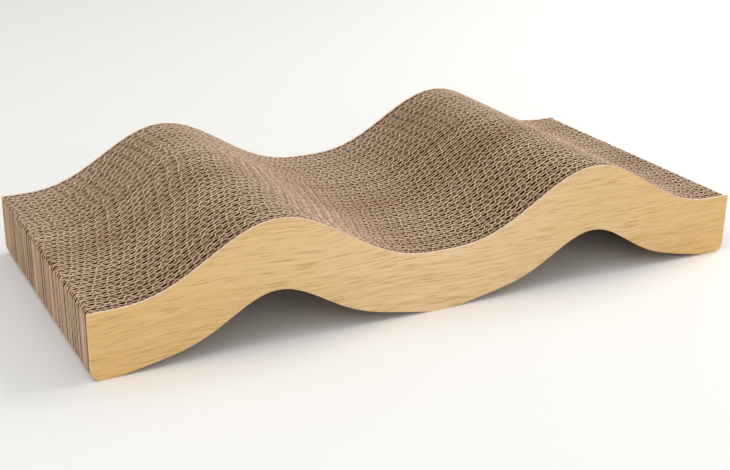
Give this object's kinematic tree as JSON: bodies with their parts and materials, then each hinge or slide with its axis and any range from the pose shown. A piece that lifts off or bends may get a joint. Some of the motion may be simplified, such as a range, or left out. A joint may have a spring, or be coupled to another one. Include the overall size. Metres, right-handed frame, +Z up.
{
  "type": "cardboard cat scratcher",
  "caption": "Wavy two-humped cat scratcher of corrugated boards stacked on edge between two wood-grain facings.",
  "frame": {"origin": "middle of the underside's bounding rectangle, on the surface that the scratcher stands on", "axes": "+X along the length, across the humps; +Y from the front facing to the rear facing; +Z up"},
  "size_m": [0.43, 0.2, 0.075],
  "materials": {
    "corrugated_cardboard": "bare kraft board with cut edges",
    "printed_facing": "matt paperboard printed with a plain wood grain"
  },
  "bodies": {
    "root": {"front_facing": "printed_facing", "board_01": "corrugated_cardboard", "board_02": "corrugated_cardboard", "board_03": "corrugated_cardboard", "board_04": "corrugated_cardboard", "board_05": "corrugated_cardboard", "board_06": "corrugated_cardboard", "board_07": "corrugated_cardboard", "board_08": "corrugated_cardboard", "board_09": "corrugated_cardboard", "board_10": "corrugated_cardboard", "board_11": "corrugated_cardboard", "board_12": "corrugated_cardboard", "board_13": "corrugated_cardboard", "board_14": "corrugated_cardboard", "board_15": "corrugated_cardboard", "board_16": "corrugated_cardboard", "board_17": "corrugated_cardboard", "board_18": "corrugated_cardboard", "board_19": "corrugated_cardboard", "board_20": "corrugated_cardboard", "board_21": "corrugated_cardboard", "board_22": "corrugated_cardboard", "board_23": "corrugated_cardboard", "board_24": "corrugated_cardboard", "board_25": "corrugated_cardboard", "board_26": "corrugated_cardboard", "board_27": "corrugated_cardboard", "board_28": "corrugated_cardboard", "board_29": "corrugated_cardboard", "board_30": "corrugated_cardboard", "board_31": "corrugated_cardboard", "board_32": "corrugated_cardboard", "board_33": "corrugated_cardboard", "board_34": "corrugated_cardboard", "rear_facing": "printed_facing"}
  },
  "joints": []
}
